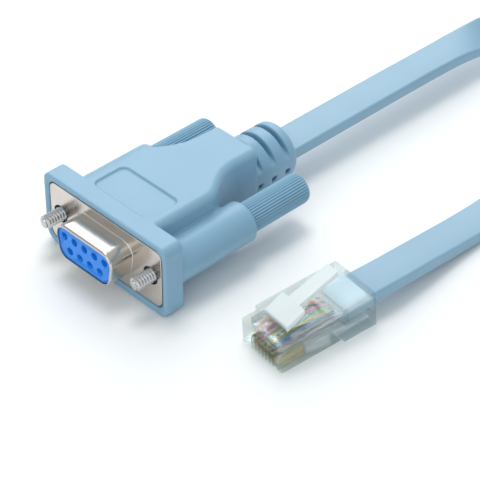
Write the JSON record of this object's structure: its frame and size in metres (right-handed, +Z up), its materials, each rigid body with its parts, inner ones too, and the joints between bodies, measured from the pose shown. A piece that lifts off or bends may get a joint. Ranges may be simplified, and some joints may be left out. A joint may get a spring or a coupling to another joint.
{
  "type": "serial console adapter cable",
  "caption": "Flat serial cable with a moulded 9-way D-shaped socket and thumbscrews on one end and a clear 8-way modular plug on the other.",
  "frame": {"origin": "middle of the moulded hood connector's box, on the surface that it lies on", "axes": "+Y from the mating face towards the cable, +X across the hood, +Z up from the table"},
  "size_m": [0.095, 0.2077, 0.0157],
  "materials": {
    "hood_pvc": "satin light blue PVC overmould",
    "cable_pvc": "satin light blue flat PVC jacket",
    "nickel_plate": "bright nickel-plated pressed steel",
    "screw_steel": "bright rolled thread",
    "gold_plate": "gold-plated contact",
    "insulator_blue": "semi-gloss moulded blue thermoplastic",
    "tie_black": "black coated wire tie",
    "clear_polycarbonate": "clear moulded polycarbonate",
    "wire_1": "coloured wire insulation",
    "wire_2": "coloured wire insulation",
    "wire_3": "coloured wire insulation",
    "wire_4": "coloured wire insulation",
    "wire_5": "coloured wire insulation",
    "wire_6": "coloured wire insulation",
    "wire_7": "coloured wire insulation",
    "wire_8": "coloured wire insulation"
  },
  "bodies": {
    "cable_assembly": {"hood": "hood_pvc", "socket_shell": "nickel_plate", "insulator": "insulator_blue", "socket_contact_1": "gold_plate", "socket_contact_2": "gold_plate", "socket_contact_3": "gold_plate", "socket_contact_4": "gold_plate", "socket_contact_5": "gold_plate", "socket_contact_6": "gold_plate", "socket_contact_7": "gold_plate", "socket_contact_8": "gold_plate", "socket_contact_9": "gold_plate", "cable_to_hood": "cable_pvc", "cable_coil": "cable_pvc", "cable_to_plug": "cable_pvc", "coil_tie": "tie_black", "plug_body": "clear_polycarbonate", "plug_contact_1": "gold_plate", "plug_contact_2": "gold_plate", "plug_contact_3": "gold_plate", "plug_contact_4": "gold_plate", "plug_contact_5": "gold_plate", "plug_contact_6": "gold_plate", "plug_contact_7": "gold_plate", "plug_contact_8": "gold_plate", "plug_wire_1": "wire_1", "plug_wire_2": "wire_2", "plug_wire_3": "wire_3", "plug_wire_4": "wire_4", "plug_wire_5": "wire_5", "plug_wire_6": "wire_6", "plug_wire_7": "wire_7", "plug_wire_8": "wire_8"},
    "left_thumbscrew": {"left_thumbscrew_knob": "hood_pvc", "left_thumbscrew_screw": "screw_steel"},
    "right_thumbscrew": {"right_thumbscrew_knob": "hood_pvc", "right_thumbscrew_screw": "screw_steel"},
    "latch": {"plug_latch": "clear_polycarbonate"}
  },
  "joints": [
    {"name": "left_thumbscrew_turn", "type": "hinge", "parent": "cable_assembly", "child": "left_thumbscrew", "pos_m": [-0.01249, 0, 0.00785], "axis": [0, 1, 0], "continuous": true},
    {"name": "right_thumbscrew_turn", "type": "hinge", "parent": "cable_assembly", "child": "right_thumbscrew", "pos_m": [0.01249, 0, 0.00785], "axis": [0, 1, 0], "continuous": true},
    {"name": "latch_bend", "type": "hinge", "parent": "cable_assembly", "child": "latch", "pos_m": [0.03637, -0.01128, 0.00692], "axis": [0.9928, -0.1201, 0], "range_deg": [-12, 0], "stiffness_Nm_per_rad": 0.1}
  ]
}
